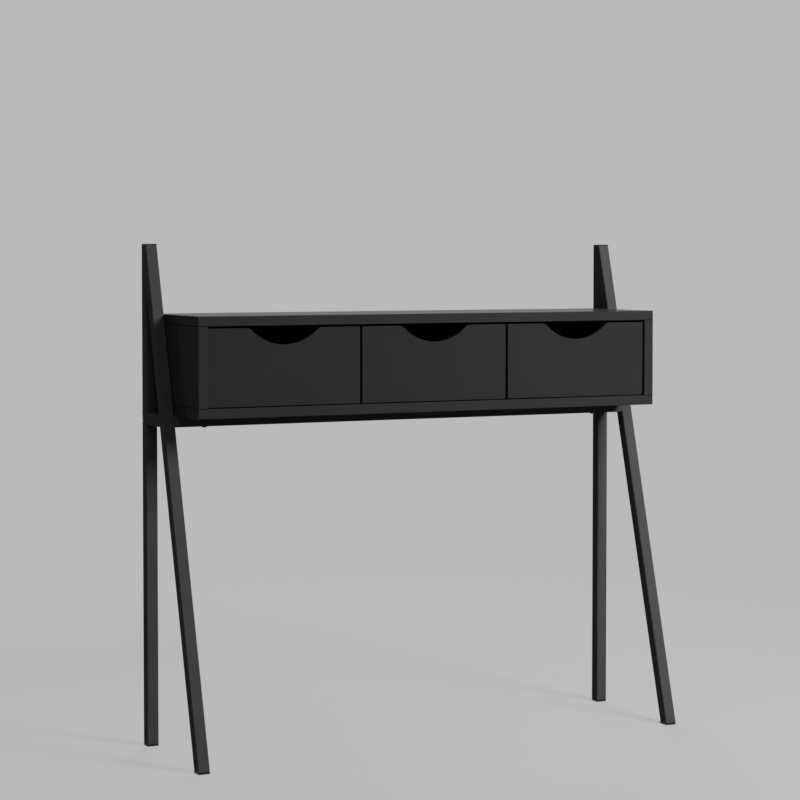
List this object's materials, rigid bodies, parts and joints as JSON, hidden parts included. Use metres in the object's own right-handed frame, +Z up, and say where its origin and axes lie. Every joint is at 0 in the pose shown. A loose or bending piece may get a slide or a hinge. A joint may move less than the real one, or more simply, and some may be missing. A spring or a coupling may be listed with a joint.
{
  "type": "ladder desk",
  "caption": "Slim black wall desk: a shallow box with inset drawers and half-moon finger scoops, carried between A-frame sides of square steel tube.",
  "frame": {"origin": "on the floor, midway between the two sides and midway between the wall face of the posts and the toes of the front legs", "axes": "+X along the desk to its right as seen from the front, +Y from the front to the wall, +Z up"},
  "size_m": [1.0044, 0.284, 0.94],
  "materials": {
    "frame_steel": "satin black powder coat on welded steel tube",
    "box_board": "matt black lacquer on board",
    "drawer_front": "matt black lacquer on board",
    "drawer_board": "matt black foil on board",
    "thin_board": "matt black hardboard",
    "beech": "planed beech",
    "black_plastic": "moulded black polyethylene",
    "black_fastener": "black oxide steel",
    "zinc_steel": "bright zinc plate"
  },
  "bodies": {
    "desk": {"left_rear_post": "frame_steel", "right_rear_post": "frame_steel", "left_front_leg": "frame_steel", "right_front_leg": "frame_steel", "left_side_strut": "frame_steel", "right_side_strut": "frame_steel", "front_rail": "frame_steel", "rear_rail": "frame_steel", "left_rail_spigot": "frame_steel", "right_rail_spigot": "frame_steel", "rear_rail_plugs": "zinc_steel", "rear_rail_bolts": "black_fastener", "post_caps": "black_plastic", "rear_glides": "black_plastic", "front_glides": "black_plastic", "top_panel": "box_board", "bottom_panel": "box_board", "left_side_panel": "box_board", "right_side_panel": "box_board", "left_divider": "box_board", "right_divider": "box_board", "back_panel": "thin_board", "cam_locks": "zinc_steel", "cam_bolts": "zinc_steel", "box_dowels": "beech", "box_screws": "black_fastener", "left_bay_left_runner": "beech", "left_bay_right_runner": "beech", "centre_bay_left_runner": "beech", "centre_bay_right_runner": "beech", "right_bay_left_runner": "beech", "right_bay_right_runner": "beech"},
    "left_drawer": {"left_drawer_front": "drawer_front", "left_drawer_left_side": "drawer_board", "left_drawer_right_side": "drawer_board", "left_drawer_back": "drawer_board", "left_drawer_bottom": "thin_board"},
    "centre_drawer": {"centre_drawer_front": "drawer_front", "centre_drawer_left_side": "drawer_board", "centre_drawer_right_side": "drawer_board", "centre_drawer_back": "drawer_board", "centre_drawer_bottom": "thin_board"},
    "right_drawer": {"right_drawer_front": "drawer_front", "right_drawer_left_side": "drawer_board", "right_drawer_right_side": "drawer_board", "right_drawer_back": "drawer_board", "right_drawer_bottom": "thin_board"}
  },
  "joints": [
    {"name": "left_drawer_slide", "type": "slide", "parent": "desk", "child": "left_drawer", "axis": [0, -1, 0], "range_m": [0, 0.15]},
    {"name": "centre_drawer_slide", "type": "slide", "parent": "desk", "child": "centre_drawer", "axis": [0, -1, 0], "range_m": [0, 0.15]},
    {"name": "right_drawer_slide", "type": "slide", "parent": "desk", "child": "right_drawer", "axis": [0, -1, 0], "range_m": [0, 0.15]}
  ]
}
